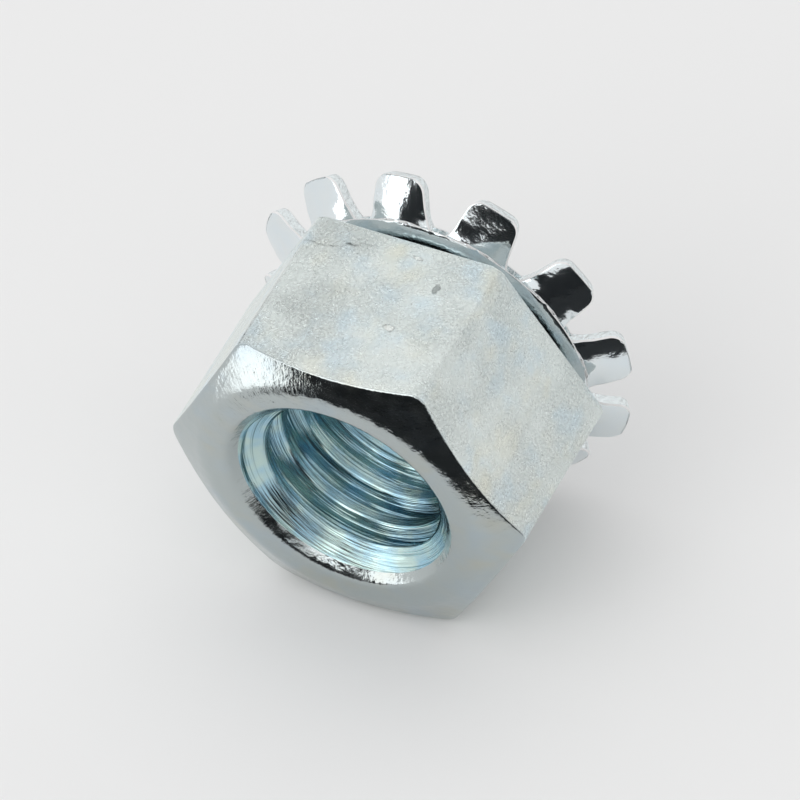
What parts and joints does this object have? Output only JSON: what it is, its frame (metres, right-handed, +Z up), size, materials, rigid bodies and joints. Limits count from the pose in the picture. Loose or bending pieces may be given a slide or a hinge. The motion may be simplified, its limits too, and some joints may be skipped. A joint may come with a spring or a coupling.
{
  "type": "hex nut with captive toothed lock washer",
  "caption": "Zinc-plated hex nut with a free-spinning external-tooth lock washer held on its flared collar, lying on one flat.",
  "frame": {"origin": "on the floor under the middle of the whole part's bounding box, the nut lying on one flat's chamfered edge and on the washer's teeth", "axes": "+Z up from the floor, +Y towards the washer side along the nut's axis seen from above, +X to the right of somebody facing +Y; the thread axis dips 7.75 degrees at the open face"},
  "size_m": [0.0174, 0.0126, 0.0172],
  "materials": {
    "nut_zinc": "bright zinc plate",
    "washer_zinc": "bright zinc plate on spring steel"
  },
  "bodies": {
    "nut": {"hex_nut": "nut_zinc"},
    "washer": {"tooth_washer": "washer_zinc"}
  },
  "joints": [
    {"name": "washer_spin", "type": "hinge", "parent": "nut", "child": "washer", "pos_m": [0, 0.0037, 0.00854], "axis": [0, -0.9909, -0.1348], "continuous": true}
  ]
}
